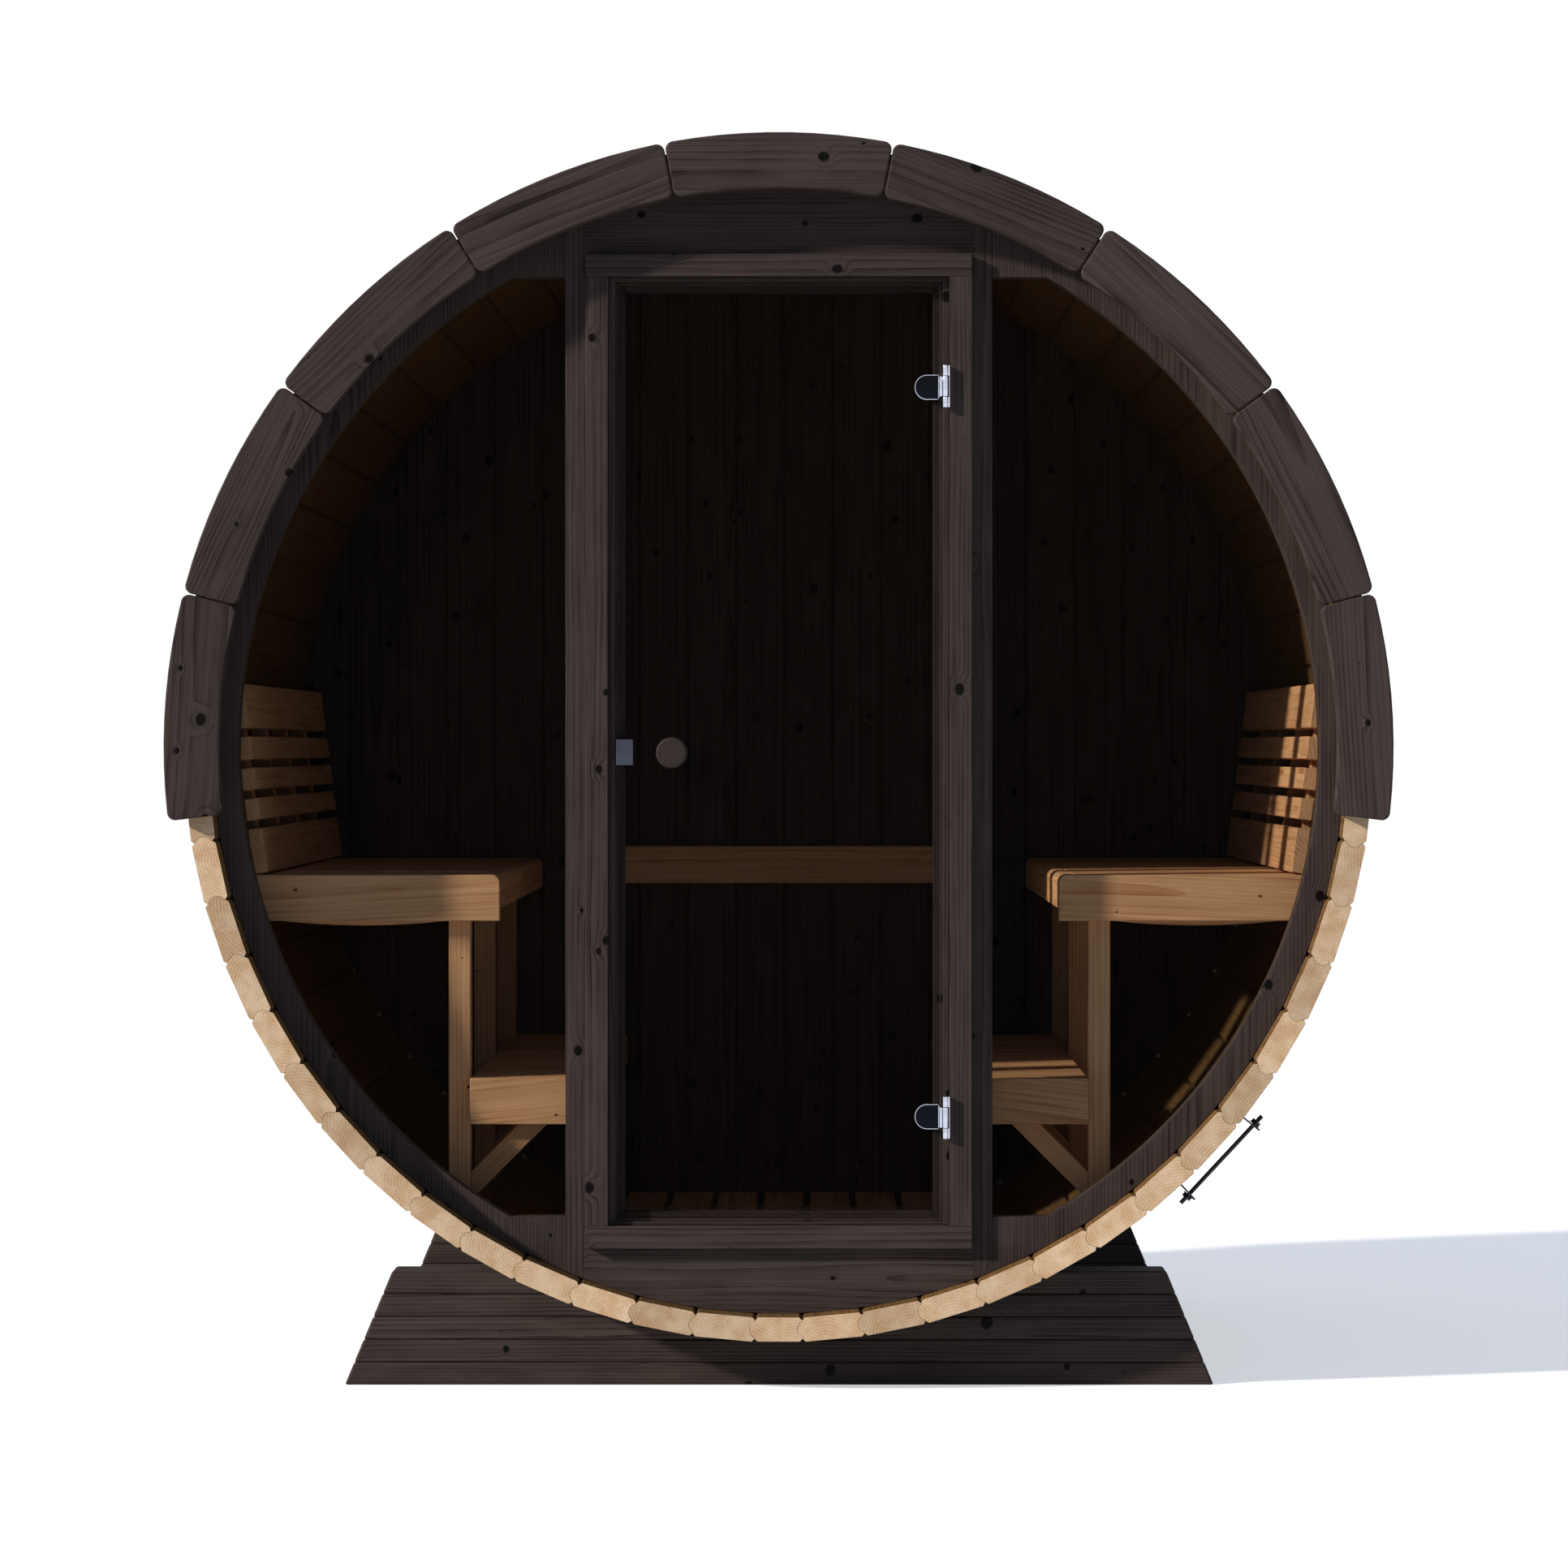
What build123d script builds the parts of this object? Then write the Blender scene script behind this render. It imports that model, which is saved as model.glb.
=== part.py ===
from build123d import *
import math
import os

# A barrel sauna: flat staves round a level axis along Y, on two cradles, with its glazed door end at -Y.
# Lengths are in millimetres. Outlines are drawn in X and Z from the barrel's axis, and a depth is
# measured along Y from the front ends of the staves.

# Clearance between pieces that seat on each other, and how far a cutting shape runs past what it cuts
fit = 0.3
overrun = 40

# Barrel of bead and cove staves, closed at the bottom by one narrower key stave
barrel_length = 1650
barrel_radius = 1030
stave_thickness = 42
full_stave_count = 59
key_stave_angle = 4.67
stave_chamfer = 5
bead_chord = 28
bead_rise = 9
stave_groups = ("bottom", "lower_left", "upper_left", "top", "upper_right", "lower_right")

# Cradles of stacked boards with a saddle cut for the barrel
ground_clearance = 90
cradle_board_count = 5
cradle_board_height = 40
cradle_half_width = 763
cradle_end_slope_share = 0.4167
cradle_thickness = 90
cradle_setback = 130

# Fascia boards over the stave ends
fascia_board_count = 9
fascia_board_angle = 21.55
fascia_thickness = 28
fascia_outer_lap = 31
fascia_inner_lap = 22
fascia_corner = 14
fascia_joint = 2

# Steel bands, pulled tight by a threaded rod between two ears
band_width = 40
band_thickness = 1.5
band_setback = 62
band_ear_height = 41
band_ear_thickness = 3
band_ear_spacing = 159
band_ear_clock_angle = 133
rod_radius = 4
rod_length = 208
rod_standoff = 26
nut_radius = 8
nut_height = 6.5

# Roof of lapped courses between the two fascias
roof_course_count = 11
roof_edge_angle = 94
roof_ridge_half_angle = 4.2
roof_course_thin = 4
roof_course_thick = 12
roof_ridge_thick = 14

# Front wall with two windows beside the doorway, and plates above and below it that lap over the posts
wall_thickness = 45
wall_recess = 60
window_ring_width = 44
front_post_width = 72
plate_lap = 40
crown_to_head_line = 168
window_glass_setback = 25
glass_thickness = 8

# Door casing, door stop and glass door
doorway_half_share = 0.3011
casing_width = 39
casing_thickness = 22
casing_reveal = 3
base_to_casing_foot = 153.5
stop_lap = 12
stop_gap = 8
stop_cheek_gap = 4
stop_cheek_setback = 2
door_side_gap = 16
door_head_gap = 13
door_foot_gap = 10.5
door_setback = 4

# Door hinges on the right: a fixed plate with two knuckles and a pin, and a leaf that clamps the glass
hinge_setback = 8
hinge_lift = 27
hinge_height = 73
hinge_sleeve_height = 36
hinge_running_gap = 0.5
hinge_plate_thickness = 1.2
hinge_plate_depth = 30
hinge_web = 4
hinge_inset = 179
knuckle_radius = 5.5
pin_radius = 2.5
pin_clearance = 0.05
leaf_length = 43
leaf_height = 44
leaf_thickness = 4
leaf_edge_gap = 2
clamp_back_length = 24
clamp_back_thickness = 3

# Round wooden door knobs on one bolt, and the catch clip on the free edge
knob_radius = 27
knob_height = 42
knob_neck_radius = 16
knob_neck_height = 12
knob_edge_round = 4
knob_inset = 95
knob_level = -10
knob_bolt_radius = 5
catch_width = 30
catch_height = 45
catch_level = -9
catch_thickness = 3
catch_back_thickness = 2

# Back wall of upright boards, tongued and grooved
back_board_count = 20
back_board_chamfer = 4
tongue_width = 9
tongue_thickness = 12
back_recess = 60

# Floor of boards along the barrel, on bearers that follow the staves
floor_rise = 81
floor_board_width = 78
floor_board_pitch = 92
floor_board_thickness = 28
floor_end_gap = 10
floor_bearer_width = 45
floor_bearer_count = 3

# Benches and footrests of cross slats, with a rounded nosing rail and a front apron
bench_gap = 45
bench_drop_share = 0.2281
bench_inner_share = 0.4988
footrest_drop_share = 0.5911
footrest_inner_share = 0.3245
apron_height = 81
apron_thickness = 28
nosing_thickness = 30
nosing_height = 60
nosing_round = 14
slat_width = 96
slat_gap = 15
slat_thickness = 28
batten_width = 39
batten_height = 28
batten_inset = 5
bench_outer_batten_gap = 50

# Bench legs with their cross bearers and the braces of the footrests
leg_setback = 53
leg_width = 39
bearer_sag = 9
bearer_sag_end = 60
brace_width = 36
brace_drop = 85

# Backrests of five boards along the barrel, on upright battens against the staves
backrest_board_heights = (79, 38, 38, 40, 78)
backrest_board_gap = 15.5
backrest_board_thickness = 25
backrest_lift = 1.5
backrest_foot_standoff = 86
backrest_top_standoff = 43
backrest_batten_count = 4
backrest_batten_width = 45

# Rail across the back wall at seat height
back_rail_end_gap = 92
back_rail_lift = 24
back_rail_height = 75
back_rail_thickness = 25

# Worked out from the sizes above
stave_angle = (360 - key_stave_angle) / full_stave_count
stave_face = barrel_radius * math.cos(math.radians(stave_angle / 2))
stave_back = stave_face - stave_thickness
wall_radius = stave_back - fit
axis_height = barrel_radius + ground_clearance
front_end = -barrel_length / 2
wall_back_depth = wall_recess + wall_thickness
back_wall_depth = barrel_length - back_recess - wall_thickness
head_line = wall_radius - crown_to_head_line
casing_foot = -wall_radius + base_to_casing_foot
casing_opening_half = doorway_half_share * wall_radius
opening_half = casing_opening_half + casing_reveal
window_inner_edge = opening_half + front_post_width
opening_head = head_line + casing_reveal
opening_foot = casing_foot - casing_reveal
door_depth = wall_recess - door_setback
door_half = casing_opening_half - door_side_gap
door_head = head_line - door_head_gap
door_foot = casing_foot + door_foot_gap
stop_depth = door_depth + glass_thickness + stop_gap
stop_cheek_depth = door_depth + stop_cheek_setback
bench_depth = wall_back_depth + bench_gap
bench_back_depth = back_wall_depth - fit
bench_inner_edge = bench_inner_share * wall_radius
bench_drop = bench_drop_share * wall_radius
footrest_inner_edge = footrest_inner_share * wall_radius
footrest_drop = footrest_drop_share * wall_radius
leg_edge = bench_inner_edge + leg_setback


def slab(outline, depth, thickness):
    """Give an outline a thickness along Y, from a depth towards the back."""
    return Pos(0, front_end + depth, axis_height) * extrude(Plane.XZ * outline, amount=-thickness)


def turned(outline, clock_angle):
    """Turn an outline about the barrel's axis, clockwise as seen from the door end."""
    return Rot(0, 0, -clock_angle) * outline


def rect(x0, z0, x1, z1):
    """A rectangle between two opposite corners."""
    return Pos((x0 + x1) / 2, (z0 + z1) / 2) * Rectangle(abs(x1 - x0), abs(z1 - z0))


def polygon(*points):
    """A face with straight sides."""
    return make_face(Polyline(*points, close=True))


def mirrored(pieces):
    """The same pieces on the other side of the barrel."""
    return [mirror(piece, about=Plane.YZ) for piece in pieces]


def save(node, pieces):
    """Write the solids of one node."""
    solids = [solid for piece in pieces for solid in piece.solids()]
    export_step(Compound(solids), os.path.join("parts", node + ".step"))


def joint_point(half_angle, side, radius, offset):
    """A point at a radius along the joint plane on one side of a stave or board, set clockwise by an offset."""
    half = math.radians(half_angle)
    return (side * radius * math.sin(half) + offset * math.cos(half),
            radius * math.cos(half) - side * offset * math.sin(half))


def stave_outline(angle):
    """End view of a stave at the top of the barrel, with its bead on the right and its cove on the left."""
    half = angle / 2
    slant = math.cos(math.radians(half))
    middle = (stave_face + stave_back) / 2 / slant
    inner = stave_back / slant + stave_chamfer
    outer = stave_face / slant - stave_chamfer
    low, high = middle - bead_chord / 2, middle + bead_chord / 2

    def right(radius, rise=0):
        return joint_point(half, 1, radius, rise - fit / 2)

    def left(radius, rise=0):
        return joint_point(half, -1, radius, rise + fit / 2)

    def flat(face, side):
        return (side * (face * math.tan(math.radians(half)) - stave_chamfer), face)

    return make_face([
        Polyline(right(high), right(outer), flat(stave_face, 1), flat(stave_face, -1), left(outer), left(high)),
        ThreePointArc(left(high), left(middle, bead_rise), left(low)),
        Polyline(left(low), left(inner), flat(stave_back, -1), flat(stave_back, 1), right(inner), right(low)),
        ThreePointArc(right(low), right(middle, bead_rise), right(high)),
    ])


def make_staves():
    """Full staves clockwise from the key stave at the bottom, in six groups round the barrel."""
    stave_count = full_stave_count + 1
    group_size = stave_count / len(stave_groups)
    groups = {name: [] for name in stave_groups}
    full_outline, key_outline = stave_outline(stave_angle), stave_outline(key_stave_angle)
    for index in range(stave_count):
        clock_angle = 180
        if index > 0:
            clock_angle += key_stave_angle / 2 + stave_angle * (index - 0.5)
        group = int(((index + group_size / 2) % stave_count) / group_size)
        outline = full_outline if index > 0 else key_outline
        groups[stave_groups[group]].append(slab(turned(outline, clock_angle), 0, barrel_length))
    for name, staves in groups.items():
        save("staves_" + name, staves)


def make_cradles():
    """Boards with slanting ends, stacked on the ground and cut out to the round of the barrel."""
    barrel = Circle(barrel_radius + fit)
    for name, depth in (("front", cradle_setback), ("rear", barrel_length - cradle_setback - cradle_thickness)):
        boards = []
        for index in range(cradle_board_count):
            low = index * cradle_board_height
            high = low + cradle_board_height - fit
            wide = cradle_half_width - cradle_end_slope_share * low
            narrow = cradle_half_width - cradle_end_slope_share * high
            board = polygon((-wide, low - axis_height), (wide, low - axis_height),
                            (narrow, high - axis_height), (-narrow, high - axis_height))
            boards.append(slab(board - barrel, depth, cradle_thickness))
        save("cradle_" + name, boards)


def make_fascias():
    """Arched boards with rounded corners, fixed over the ends of the upper staves."""
    inner, outer = stave_back - fascia_inner_lap, barrel_radius + fascia_outer_lap
    half = fascia_board_angle / 2

    def corner(side, radius):
        return joint_point(half, side, radius, -side * fascia_joint / 2)

    board = make_face([
        ThreePointArc(corner(-1, outer), (0, outer), corner(1, outer)),
        Line(corner(1, outer), corner(1, inner)),
        ThreePointArc(corner(1, inner), (0, inner), corner(-1, inner)),
        Line(corner(-1, inner), corner(-1, outer)),
    ])
    board = fillet(board.vertices(), fascia_corner)
    middle = (fascia_board_count - 1) / 2
    outlines = [turned(board, (index - middle) * fascia_board_angle) for index in range(fascia_board_count)]
    for name, depth in (("front", -fascia_thickness), ("rear", barrel_length)):
        save("fascia_" + name, [slab(outline, depth, fascia_thickness) for outline in outlines])


def make_bands():
    """Thin steel strips round the staves, each with two ears and the rod and nuts that draw them together."""
    inner, outer = barrel_radius + fit, barrel_radius + fit + band_thickness
    gap_half_angle = math.degrees(band_ear_spacing / 2 / inner)
    ear_angles = (band_ear_clock_angle - gap_half_angle, band_ear_clock_angle + gap_half_angle)
    reach = 2 * outer
    gap = polygon((0, 0), *[(reach * math.sin(math.radians(angle)), reach * math.cos(math.radians(angle)))
                            for angle in ear_angles])
    ear = rect(-band_ear_thickness / 2, inner, band_ear_thickness / 2, inner + band_ear_height)
    strip = Circle(outer) - Circle(inner) - gap
    strip += [turned(ear, angle) for angle in ear_angles]

    rod_distance = barrel_radius + rod_standoff
    ear_tilt = math.tan(math.radians(gap_half_angle))
    nut_seat = (rod_distance + nut_radius) * ear_tilt + band_ear_thickness / 2 + fit
    rod = Cylinder(rod_radius, rod_length)
    for side in (-1, 1):
        nut = extrude(RegularPolygon(nut_radius, 6), amount=nut_height, both=True)
        rod += Pos(0, 0, side * (nut_seat + nut_height)) * nut
    rod_hole = Cylinder(rod_radius + fit, rod_length)

    tensioners = []
    for name, depth in (("front", band_setback), ("rear", barrel_length - band_setback - band_width)):
        middle = Pos(0, front_end + depth + band_width / 2, axis_height)
        place = middle * Rot(0, band_ear_clock_angle, 0) * Pos(0, 0, rod_distance) * Rot(0, 90, 0)
        save("band_" + name, [slab(strip, depth, band_width) - place * rod_hole])
        tensioners.append(place * rod)
    save("band_tensioners", tensioners)


def make_roof():
    """Lapped courses from a ridge strip down both sides, thick at the lower edge and thin at the upper."""
    bed = barrel_radius + fit + band_thickness + fit
    course_angle = (roof_edge_angle - roof_ridge_half_angle) / roof_course_count
    length = barrel_length - 2 * fit

    half = bed * math.tan(math.radians(roof_ridge_half_angle)) - fit / 2
    ridge = polygon((-half, bed), (half, bed), (half, bed + roof_course_thick),
                    (0, bed + roof_ridge_thick), (-half, bed + roof_course_thick))
    save("roof_ridge", [slab(ridge, fit, length)])

    half = bed * math.tan(math.radians(course_angle / 2)) - fit / 2
    course = polygon((-half, bed), (half, bed), (half, bed + roof_course_thick), (-half, bed + roof_course_thin))
    right = []
    for index in range(roof_course_count):
        clock_angle = roof_ridge_half_angle + (index + 0.5) * course_angle
        right.append(slab(turned(course, clock_angle), fit, length))
    save("roof_right", right)
    save("roof_left", mirrored(right))


def window_outline(clearance):
    """The right window: straight beside the door, level at head and foot, and round at the outside."""
    arc = Circle(wall_radius - window_ring_width - clearance)
    light = rect(window_inner_edge + clearance, -head_line + clearance, wall_radius, head_line - clearance)
    return arc & light


def make_front_wall():
    """Two round-backed window frames, a notched post each side of the doorway, and a plate above and below it."""
    disc = Circle(wall_radius)
    beside = rect(window_inner_edge, -wall_radius, wall_radius, wall_radius)
    ring = slab((disc & beside) - window_outline(0), wall_recess, wall_thickness)
    pane = slab(window_outline(fit), wall_recess + window_glass_setback, glass_thickness)
    plate_half = opening_half + plate_lap
    notch = plate_half + fit
    post = disc & rect(opening_half, -wall_radius, window_inner_edge - fit, wall_radius)
    post -= rect(0, opening_head - fit, notch, wall_radius)
    post -= rect(0, opening_foot + fit, notch, -wall_radius)
    post = slab(post, wall_recess, wall_thickness)
    lintel = disc & rect(-plate_half, opening_head, plate_half, wall_radius)
    sill = disc & rect(-plate_half, -wall_radius, plate_half, opening_foot)
    save("front_frame_right", [ring])
    save("front_frame_left", mirrored([ring]))
    save("front_posts", [post] + mirrored([post]))
    save("front_lintel", [slab(lintel, wall_recess, wall_thickness)])
    save("front_sill", [slab(sill, wall_recess, wall_thickness)])
    save("window_right", [pane])
    save("window_left", mirrored([pane]))


def make_door_frame():
    """Casing on the wall's face, its head and foot running over the sides, and the rebated stops round the glass."""
    outer = casing_opening_half + casing_width
    side = slab(rect(casing_opening_half, casing_foot + fit, outer, head_line - fit),
                wall_recess - casing_thickness, casing_thickness)
    ends = [rect(-outer, head_line, outer, head_line + casing_width),
            rect(-outer, casing_foot - casing_width, outer, casing_foot)]
    ends = [slab(outline, wall_recess - casing_thickness, casing_thickness) for outline in ends]
    save("door_casing", [side] + mirrored([side]) + ends)

    stop_half = door_half - stop_lap
    stop_outer, stop_head, stop_foot = opening_half - fit, opening_head - fit, opening_foot + fit
    stop_thickness = wall_back_depth - stop_depth
    cheek_half, cheek_thickness = door_half + stop_cheek_gap, stop_depth - stop_cheek_depth
    cheek_outer, cheek_head, cheek_foot = casing_opening_half - fit, head_line - fit, casing_foot + fit
    side = slab(rect(stop_half, stop_foot, stop_outer, stop_head), stop_depth, stop_thickness)
    side += slab(rect(cheek_half, cheek_foot, cheek_outer, cheek_head), stop_cheek_depth, cheek_thickness)
    between, cheek_between = stop_half - fit, cheek_half - fit
    ends = []
    for stop_edge, stop_end, cheek_edge, cheek_end in (
            (door_head - stop_lap, stop_head, door_head + stop_cheek_gap, cheek_head),
            (door_foot + stop_lap, stop_foot, door_foot - stop_cheek_gap, cheek_foot)):
        strip = slab(rect(-between, stop_edge, between, stop_end), stop_depth, stop_thickness)
        strip += slab(rect(-between, cheek_edge, between, cheek_end), stop_cheek_depth, cheek_thickness)
        strip += slab(rect(-cheek_between, cheek_edge, cheek_between, cheek_end),
                      stop_cheek_depth, cheek_thickness - fit)
        ends.append(strip)
    save("door_stop", [side] + mirrored([side]) + ends)


def make_hinge(level):
    """One hinge at a level on the casing: the fixed plate, knuckles and pin, then the leaf and back clamp."""
    axis_x = casing_opening_half - hinge_setback
    axis_depth = door_depth - hinge_lift
    axis = Pos(axis_x, front_end + axis_depth, axis_height + level)
    knuckle_height = (hinge_height - hinge_sleeve_height) / 2 - hinge_running_gap
    plate_face = casing_opening_half - hinge_plate_thickness

    fixed = slab(rect(plate_face, level - hinge_height / 2, casing_opening_half, level + hinge_height / 2),
                 axis_depth - hinge_web / 2, hinge_plate_depth)
    for side in (-1, 1):
        middle = level + side * (hinge_height - knuckle_height) / 2
        fixed += axis * Pos(0, 0, middle - level) * Cylinder(knuckle_radius, knuckle_height)
        fixed += slab(rect(axis_x, middle - knuckle_height / 2, casing_opening_half, middle + knuckle_height / 2),
                      axis_depth - hinge_web / 2, hinge_web)
    fixed += axis * Cylinder(pin_radius, hinge_height)

    leaf_edge = door_half - leaf_edge_gap
    leaf_round = leaf_height / 2
    leaf = rect(leaf_edge - leaf_length + leaf_round, level - leaf_round, leaf_edge, level + leaf_round)
    leaf += Pos(leaf_edge - leaf_length + leaf_round, level) * Circle(leaf_round)
    moving = slab(leaf, door_depth - leaf_thickness, leaf_thickness)
    moving += slab(rect(leaf_edge, level - hinge_sleeve_height / 2, axis_x, level + hinge_sleeve_height / 2),
                   axis_depth, hinge_lift)
    moving += axis * Cylinder(knuckle_radius, hinge_sleeve_height)
    moving -= axis * Cylinder(pin_radius + pin_clearance, hinge_height)

    clamp_edge = leaf_edge - leaf_length + clamp_back_length
    clamp = rect(leaf_edge - leaf_length, level - leaf_round, clamp_edge, level + leaf_round) & leaf
    back = slab(clamp, door_depth + glass_thickness, clamp_back_thickness)
    return fixed, [moving, back]


def make_door():
    """The glass leaf with its hinges, its two knobs on one bolt and the catch clip on its free edge."""
    upper_fixed, upper_moving = make_hinge(door_head - hinge_inset)
    lower_fixed, lower_moving = make_hinge(door_foot + hinge_inset)
    save("hinge_plates", [upper_fixed, lower_fixed])
    save("door_hinges", upper_moving + lower_moving)

    knob_x = -door_half + knob_inset
    bolt = Pos(knob_x, front_end + door_depth, axis_height + knob_level) * Rot(-90, 0, 0)
    bolt_hole = bolt * Cylinder(knob_bolt_radius + fit, 2 * overrun)
    pane = slab(rect(-door_half, door_foot, door_half, door_head), door_depth, glass_thickness)
    save("door_glass", [pane - bolt_hole])

    neck = Cylinder(knob_neck_radius, knob_neck_height, align=(Align.CENTER, Align.CENTER, Align.MIN))
    head_height = knob_height - knob_neck_height
    head = Cylinder(knob_radius, head_height, align=(Align.CENTER, Align.CENTER, Align.MIN))
    head = fillet(head.edges().filter_by(GeomType.CIRCLE), knob_edge_round)
    knob = neck + Pos(0, 0, knob_neck_height) * head
    through = Cylinder(knob_bolt_radius, glass_thickness + 2 * knob_neck_height,
                       align=(Align.CENTER, Align.CENTER, Align.CENTER))
    knobs = Pos(0, 0, glass_thickness / 2) * through
    knobs += Pos(0, 0, glass_thickness) * knob
    knobs += Rot(180, 0, 0) * knob
    save("door_knobs", [bolt * knobs])

    catch_low, catch_high = catch_level - catch_height / 2, catch_level + catch_height / 2
    grip = rect(-door_half - catch_thickness, catch_low, -door_half + catch_width - catch_thickness, catch_high)
    clip = slab(grip, door_depth - catch_thickness, catch_thickness + glass_thickness + catch_back_thickness)
    slot = rect(-door_half, catch_low - overrun, -door_half + catch_width + overrun, catch_high + overrun)
    save("door_catch", [clip - slab(slot, door_depth, glass_thickness)])


def make_back_wall():
    """Upright tongued and grooved boards, with their long edges eased, cut to the round of the barrel."""
    disc = slab(Circle(wall_radius), back_wall_depth, wall_thickness)
    board_width = 2 * wall_radius / back_board_count
    half = (board_width - fit) / 2
    profile = chamfer(Rectangle(2 * half, wall_thickness).vertices(), back_board_chamfer)
    profile += Pos(half, 0) * Rectangle(2 * tongue_width, tongue_thickness)
    groove_width = 2 * (tongue_width + fit)
    profile -= Pos(-half, 0) * Rectangle(groove_width, tongue_thickness + 2 * fit)
    board = extrude(profile, amount=wall_radius, both=True)
    middle_y = front_end + back_wall_depth + wall_thickness / 2
    boards = []
    for index in range(back_board_count):
        middle_x = -wall_radius + (index + 0.5) * board_width
        boards.append(Pos(middle_x, middle_y, axis_height) * board & disc)
    save("back_wall", boards)

    rail_half, rail_top = bench_inner_edge - back_rail_end_gap, back_rail_lift - bench_drop
    rail = rect(-rail_half, rail_top, rail_half, rail_top - back_rail_height)
    save("back_rail", [slab(rail, back_wall_depth - back_rail_thickness, back_rail_thickness)])


def make_floor():
    """Floor boards along the barrel over cross bearers whose undersides follow the staves."""
    top = -wall_radius + floor_rise
    under = top - floor_board_thickness
    half_room = math.sqrt(wall_radius ** 2 - under ** 2)
    boards_each_side = int((half_room - floor_board_width / 2) / floor_board_pitch)
    start = wall_back_depth + floor_end_gap
    length = back_wall_depth - floor_end_gap - start
    boards = []
    for index in range(-boards_each_side, boards_each_side + 1):
        middle = index * floor_board_pitch
        board = rect(middle - floor_board_width / 2, under, middle + floor_board_width / 2, top)
        boards.append(slab(board, start, length))
    save("floor_boards", boards)

    bearer = Circle(wall_radius) & rect(-wall_radius, -wall_radius, wall_radius, under - fit)
    step = (length - floor_bearer_width) / (floor_bearer_count - 1)
    save("floor_bearers", [slab(bearer, start + index * step, floor_bearer_width)
                           for index in range(floor_bearer_count)])


def slatted_seat(inner, outer, top, batten_edges):
    """Apron, nosing rail, cross slats and the battens under them, for one bench or footrest on the right."""
    inside = Circle(wall_radius)
    run_start = bench_depth + apron_thickness + fit
    run = bench_back_depth - run_start

    def nosed(outline):
        nose = outline.vertices().group_by(Axis.X)[0].sort_by(Axis.Y)[-1]
        return fillet(nose, nosing_round)

    apron = nosed(rect(inner, top - apron_height, outer, top)) & inside
    nosing = nosed(rect(inner, top - nosing_height, inner + nosing_thickness, top))
    pieces = [slab(apron, bench_depth, apron_thickness), slab(nosing, run_start, run)]
    slat = rect(inner + nosing_thickness + fit, top - slat_thickness, outer, top) & inside
    pitch = slat_width + slat_gap
    for index in range(int(run / pitch)):
        pieces.append(slab(slat, run_start + slat_gap + index * pitch, slat_width))
    batten_top = top - slat_thickness - fit
    for edge in batten_edges:
        batten = rect(edge, batten_top - batten_height, edge + batten_width, batten_top)
        pieces.append(slab(batten, run_start, run))
    return pieces


def make_benches():
    """A bench and a footrest along each side, on three rows of legs, bearers and braces."""
    inside = Circle(wall_radius)
    footrest_outer = leg_edge - fit
    bench_outer_batten = wall_radius - bench_outer_batten_gap - batten_width * 2
    bench = slatted_seat(bench_inner_edge, wall_radius, -bench_drop, (leg_edge, bench_outer_batten))
    footrest_battens = (footrest_inner_edge + nosing_thickness + batten_inset,
                        footrest_outer - batten_width - batten_inset)
    footrest = slatted_seat(footrest_inner_edge, footrest_outer, -footrest_drop, footrest_battens)

    bearer_drop = slat_thickness + fit + batten_height + fit
    bearer_foot = -bench_drop - apron_height
    bearer = rect(leg_edge, bearer_foot, wall_radius, -bench_drop - bearer_drop)
    sag_start, sag_end = leg_edge + leg_width, wall_radius - bearer_sag_end - leg_width
    sag_middle = (sag_start + sag_end) / 2
    bearer += make_face([
        ThreePointArc((sag_start, bearer_foot), (sag_middle, bearer_foot - bearer_sag), (sag_end, bearer_foot)),
        Line((sag_end, bearer_foot), (sag_start, bearer_foot)),
    ])
    leg = rect(leg_edge, -wall_radius, leg_edge + leg_width, bearer_foot - fit)

    rest_foot = -footrest_drop - apron_height
    rest_bearer = rect(footrest_inner_edge + nosing_thickness + fit, rest_foot,
                       footrest_outer, -footrest_drop - bearer_drop)
    brace_cut = brace_width * math.sqrt(2)
    brace = polygon((footrest_outer, rest_foot - fit - brace_drop),
                    (footrest_outer - brace_drop, rest_foot - fit),
                    (footrest_outer - brace_drop - brace_cut, rest_foot - fit),
                    (footrest_outer, rest_foot - fit - brace_drop - brace_cut))

    first = bench_depth + apron_thickness + fit
    last = bench_back_depth - leg_width
    rows = (first, (first + last) / 2, last)
    frame = [slab(outline & inside, depth, leg_width) for depth in rows for outline in (bearer, leg)]
    rest_frame = [slab(outline & inside, depth, leg_width) for depth in rows for outline in (rest_bearer, brace)]

    for name, pieces in (("bench", bench), ("footrest", footrest),
                         ("bench_frame", frame), ("footrest_frame", rest_frame)):
        save(name + "_right", pieces)
        save(name + "_left", mirrored(pieces))


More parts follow.
